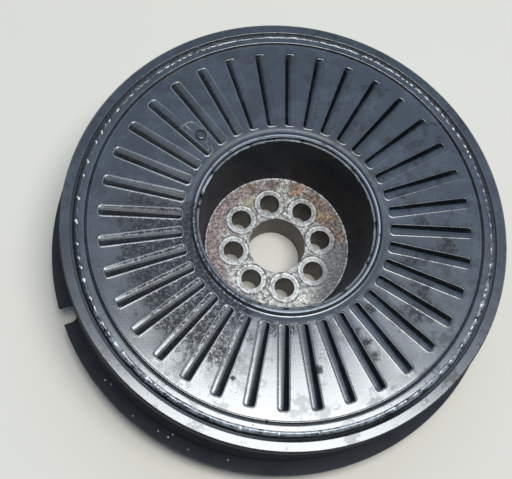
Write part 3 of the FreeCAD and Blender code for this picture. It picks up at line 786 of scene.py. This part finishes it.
plug_crimp = plate_top + 0.05 * mm
plug = turned("filler_pin", 64, [
    (plug_radius, plug_low.z),
    (plug_radius, plug_crimp - 0.9 * mm),
    (1.75 * mm, plug_crimp - 0.3 * mm),
    (1.65 * mm, plug_crimp),
    (1.25 * mm, plug_crimp + 0.05 * mm),
    (1.15 * mm, plug_crimp - 0.6 * mm),
    (0.75 * mm, plug_crimp - 0.6 * mm),
    (0.65 * mm, plug_crimp + 0.02 * mm),
    (0.3 * mm, plug_crimp + 0.12 * mm),
], closed=False)
bpy.ops.object.mode_set(mode="EDIT")
bpy.ops.mesh.select_all(action="DESELECT")
bpy.ops.mesh.select_non_manifold()
bpy.ops.mesh.fill()
bpy.ops.mesh.select_all(action="SELECT")
bpy.ops.mesh.normals_make_consistent(inside=False)
bpy.ops.object.mode_set(mode="OBJECT")
plug.location = (plug_middle.x, plug_middle.y, 0)
bpy.ops.object.transform_apply()
softened(plug, 0.05 * mm, segments=1)
black_paint("plug_paint", film=0.8).onto(plug)
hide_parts("filler_plug")
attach(plug, "pulley")


# Weld beads of the cover
# Two welds seal the cover: a wide one round the rim and a thin one at the bowl's mouth. Both were laid by
# hand in stops and starts, so they wander, bulge and drip, and spatter stuck beside them.

bead_low, bead_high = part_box("outer_weld_bead")
bead_bottom = bead_low.z
bead_swell = bead_high.x - housing_radius
outer_weld = turned("outer_weld", 1200, [
    (housing_radius - 0.35 * mm, plate_top + 0.30 * mm),
    (housing_radius - 0.1 * mm, plate_top + 0.42 * mm),
    (housing_radius + 0.3 * mm, plate_top + 0.50 * mm),
    (housing_radius + 0.7 * mm, plate_top + 0.48 * mm),
    (housing_radius + 1.1 * mm, plate_top + 0.34 * mm),
    (housing_radius + 1.4 * mm, plate_top + 0.08 * mm),
    (housing_radius + 1.65 * mm, plate_top - 0.4 * mm),
    (housing_radius + 1.8 * mm, plate_top - 1.1 * mm),
    (housing_radius + bead_swell * 0.95, plate_top - 2.2 * mm),
    (housing_radius + bead_swell * 0.8, plate_top - 3.2 * mm),
    (housing_radius + bead_swell * 0.45, plate_top - 4.3 * mm),
    (housing_radius - 0.05 * mm, bead_bottom),
    (housing_radius - 0.8 * mm, bead_bottom + 0.3 * mm),
])

# Each lump has an azimuth, a height in millimetres and a width in degrees; the dashes are small equal ones
lumps = [
    (88, -0.4, 2), (208.7, 0.2, 0.7), (212, 0.3, 1.4), (216, -0.25, 1),
    (220.7, 0.3, 1.3), (223.5, 0.2, 0.5), (232.7, 0.2, 0.8), (248, 0.3, 1.2),
    (251, 0.2, 0.8), (258, 0.2, 0.6), (268.3, 0.2, 0.4), (289.3, 0.3, 0.9),
]
dashes = (137, 141, 145.3, 148.7, 154.9, 159, 165.9, 172.7, 179, 183, 185.6, 189.4, 194.6, 197, 202, 205)
dashes += (293, 297, 302, 306, 310, 315.4, 319.3, 321.4, 323.6, 328.3, 331.3, 333, 340.3, 345, 349)
lumps += [(place, 0.22, 0.45) for place in dashes]
outer_root = (housing_radius, plate_top - 2.2 * mm)
rippled(outer_weld, outer_root, 4.0 * mm, 0.22 * mm, 0.2 * mm, 3, lumps, worked=(65, 68))


def weld_residue_and_glints(paint, colour, roughness, coat, height):
    """Painted highlights on the upper half, a pale smear and painted sheen on the lower half, single pale
    marks: part residue, part painted glints.
    """
    # Painted highlight: pale tone on the bead's crests along the upper half.
    crest_highlights = paint.grain(1.5, 3, 0.7).step(0.46, 0.58) * paint.radius.band(87.0, 88.3, 0.3)
    upper = (paint.x * 0.42 + paint.y * 0.91).step(22, 40)
    colour = (crest_highlights * upper * 0.35).mix(colour, (0.12, 0.13, 0.15))
    # A pale smear over the lower half of the bead: partly residue, partly painted sheen.
    lower_smear_and_sheen = paint.grain(3, 5, 0.8).step(0.42, 0.54) * (paint.y * -1.0).step(5, 45)
    colour = (lower_smear_and_sheen * 0.85).mix(colour, (0.20, 0.21, 0.23))
    # Pale marks at single places: partly dried residue, partly painted glints.
    glint_and_residue_places = (
        (143, 87.9, 0.36), (145.3, 87.8, 0.63), (148.7, 87.8, 0.54), (154.9, 87.8, 0.63),
        (165.9, 87.9, 0.54), (172.7, 87.7, 0.9), (179, 88, 0.45), (183, 88, 0.54),
        (185.6, 87.9, 0.45), (189.4, 87.7, 0.99), (194.6, 87.7, 0.72), (202, 88, 0.54),
        (208.7, 87.6, 1.08), (212, 87.6, 1.17), (220.7, 87.6, 1.17), (223.5, 87.5, 0.63),
        (232.7, 87.8, 0.54), (248, 88.1, 1.08), (250.5, 87.8, 0.81), (258, 88, 0.81),
        (268.3, 88, 0.63), (289.3, 88, 0.99), (292.7, 87.3, 0.54), (328.3, 88, 0.45), (319.3, 88, 0.36),
    )
    marks = paint.spots(glint_and_residue_places, ragged=2.6)
    marks = marks * paint.grain(1.2, 3, 0.8).step(0.42, 0.54)
    colour = (marks * 0.9).mix(colour, (0.60, 0.61, 0.63))
    return colour, roughness + marks * 0.2, coat, height + marks * 1.5


weld_look = {"film": 0.4, "wet": 0.8, "dull": 0.30, "relief": 0.05}
black_paint("outer_weld_paint", blemish=weld_residue_and_glints, **weld_look).onto(outer_weld)
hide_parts("outer_weld_bead")
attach(outer_weld, "pulley")

inner_weld = turned("inner_weld", 720, [
    (mouth_radius + 0.25 * mm, mouth_top - 0.25 * mm),
    (mouth_radius + 0.35 * mm, mouth_top + 0.12 * mm),
    (mouth_radius + 0.7 * mm, mouth_top + 0.26 * mm),
    (mouth_radius + 1.05 * mm, mouth_top + 0.12 * mm),
    (mouth_radius + 1.3 * mm, mouth_top - 0.02 * mm),
    (mouth_radius + 1.45 * mm, mouth_top - 0.3 * mm),
])
inner_root = (mouth_radius + 0.8 * mm, mouth_top - 0.3 * mm)
rippled(inner_weld, inner_root, 5.2 * mm, 0.02 * mm, 0.06 * mm, 5)


def mouth_wear_and_highlights(paint, colour, roughness, coat, height):
    """Paint rubbed pale along the edge, also a painted highlight there, and one whitish streak that is a
    painted highlight.
    """
    # The pale line along the mouth's edge is partly rubbed paint, partly a painted highlight.
    edge = paint.radius.band(37.2, 37.9, 0.3) * paint.grain(6, 4, 0.7).step(0.36, 0.50)
    colour = (edge * 0.7).mix(colour, (0.17, 0.18, 0.20))
    # Painted highlight: one whitish streak on the mouth.
    smear = paint.spot(146, 38.0, 5.5, ragged=1.4, soft=0.5) * paint.grain(1.2, 3, 0.8).step(0.40, 0.52)
    colour = (smear * 0.8).mix(colour, (0.42, 0.43, 0.45))
    return colour, roughness + edge * 0.3, coat * 0.6, height


black_paint("inner_weld_paint", film=0.4, wet=1.0, dull=0.26, blemish=mouth_wear_and_highlights).onto(inner_weld)
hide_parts("inner_weld_bead")
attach(inner_weld, "pulley")

drops = []
chance = random.Random(4)
spatter_places = [(254.5, 83.3, 0.5)]
for _ in range(26):
    spatter_places.append((chance.uniform(0, 360), chance.uniform(81, 86.5), chance.uniform(0.12, 0.28)))
for azimuth, radius, size in spatter_places:
    turn = math.radians(azimuth)
    ground = band_top if radius > 84.3 else plate_top
    place = (radius * mm * math.cos(turn), radius * mm * math.sin(turn), ground)
    bpy.ops.mesh.primitive_uv_sphere_add(segments=12, ring_count=8, radius=size * mm, location=place)
    drop = bpy.context.object
    drop.scale = (1, 1, 0.7)
    bpy.ops.object.transform_apply()
    drops.append(drop)
spatter = joined(drops, "weld_spatter")
bpy.ops.object.shade_smooth_by_angle(angle=math.radians(60))
black_paint("spatter_paint", film=0.2, wet=0.6).onto(spatter)
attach(spatter, "pulley")


# Rubber sleeve
# Black rubber bonded between the housing and the belt ring. It shows at the bottom of the rim channel and
# as a thin ring on the rear.

rubber = Finish("sleeve_rubber")
bloom = rubber.grain(2, 4)
rubber.set(
    Base_Color=bloom.step(0.35, 0.7).mix((0.008, 0.008, 0.009), (0.022, 0.022, 0.021)),
    Roughness=0.65 + bloom * 0.2,
).relief(bloom, 0.05)
rubber.onto(frame["nodes"]["rubber_sleeve"])


# Belt ring
# A machined ring with a flat land in front, six ribs for the belt and a flange behind with one U-shaped
# notch. It was painted black as one piece and has collected dust and paint specks on the flange.

ring_low, ring_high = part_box("belt_ring")
ring_radius = 95 * mm
ring_bore = housing_radius + 2.4 * mm
land_top = ring_high.z - 0.8 * mm
flange_radius = ring_high.x
flange_bottom = ring_low.z
flange_top = flange_bottom + 3 * mm
channel_radius = ring_bore + 1.0 * mm
ledge_outer, ledge_inner = plate_top - 3.3 * mm, plate_top - 2.9 * mm
groove_count = 6
groove_pitch = 3.56 * mm
groove_depth = 2.9 * mm
track_height = 33.4 * mm
groove_points = []
for number in range(groove_count):
    middle = track_height + ((groove_count - 1) / 2 - number) * -groove_pitch
    groove_points += [
        (ring_radius, middle - 1.3 * mm),
        (ring_radius - groove_depth + 0.2 * mm, middle - 0.3 * mm),
        (ring_radius - groove_depth, middle),
        (ring_radius - groove_depth + 0.2 * mm, middle + 0.3 * mm),
        (ring_radius, middle + 1.3 * mm),
    ]
belt_ring = turned("belt_ring_body", 360, [
    (ring_bore, flange_bottom),
    (flange_radius, flange_bottom),
    (flange_radius, flange_top),
    (ring_radius, flange_top),
    *groove_points,
    (ring_radius, land_top - 0.7 * mm),
    (ring_radius - 0.6 * mm, land_top),
    *arc((channel_radius + 0.4 * mm, land_top - 0.4 * mm), 0.4 * mm, 90, 180, 5),
    (channel_radius, ledge_outer),
    (ring_bore, ledge_inner),
])
notch_turn = math.radians(190.8)
notch_radius = 4 * mm
notch_bottom = flange_radius - 7.2 * mm
notch_centre = Vector((notch_bottom + notch_radius, 0, 0))
notch_height = 40 * mm
bpy.ops.object.select_all(action="DESELECT")
bpy.ops.mesh.primitive_cylinder_add(
    vertices=64,
    radius=notch_radius,
    depth=notch_height,
    location=notch_centre,
)
notch_end = bpy.context.object
bpy.ops.object.transform_apply()
bpy.ops.mesh.primitive_cube_add(size=1, location=notch_centre + Vector((10 * mm, 0, 0)))
notch_way = bpy.context.object
notch_way.scale = (20 * mm, 2 * notch_radius, notch_height)
bpy.ops.object.transform_apply()
cut(notch_end, notch_way, "UNION")
notch_end.rotation_euler = Euler((0, 0, notch_turn))
notch_end.location.z = flange_top + 0.3 * mm - notch_height / 2
cut(belt_ring, notch_end)
softened(belt_ring, 0.22 * mm, segments=2, angle=25)


def ring_marks(paint, colour, roughness, coat, height):
    """Turning marks on the land, a lighter channel, a matt flange and wall, and pale specks on the flange.
    """
    land = land_top / mm
    flat = paint.height.step(land - 0.2, land)
    marks = paint.grain(0.5, 2, stretch=(0.05, 0.05, 1))
    side = paint.height.step(land - 0.3, land - 0.6) * paint.radius.step(92, 92.5)
    colour = (side * 0.7).mix(colour, (0.019, 0.022, 0.027))
    # The channel is coloured lighter, less on the upper half and not at the bottom.
    lighter_channel = paint.radius.step(91.2, 90.6) * paint.height.step(land - 8, land - 7)
    lighter_channel = lighter_channel * (1.0 - paint.y.step(0, 40) * 0.4) * (1.0 - paint.spot(275, 90, 48, soft=0.6))
    colour = lighter_channel.mix(colour, (0.055, 0.062, 0.072))
    speck_places = (
        (210.6, 97.1, 0.5), (212.4, 96.2, 0.4), (229.3, 97.8, 0.4), (232.2, 97.8, 0.55),
        (232.9, 95.8, 0.5), (248.2, 97.3, 0.45), (238, 98.5, 0.35), (222, 99, 0.35),
    )
    colour = (paint.spots(speck_places, ragged=0.8) * side).mix(colour, (0.40, 0.41, 0.40))
    rim = paint.radius.step(flange_radius / mm - 0.3, flange_radius / mm - 0.1)
    rim = rim * paint.height.step(15.2, 15.7) * paint.grain(1.5, 3).step(0.35, 0.6)
    colour = (rim * 0.5).mix(colour, (0.10, 0.105, 0.11))
    return colour, roughness + side * 0.5, coat * (1.0 - side), height + flat * marks * 0.2


ring_look = {"film": 0.4, "wet": 0.85, "dull": 0.28, "relief": 0.02}
black_paint("belt_ring_paint", blemish=ring_marks, **ring_look).onto(belt_ring)
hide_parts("belt_ring")
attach(belt_ring, "pulley")
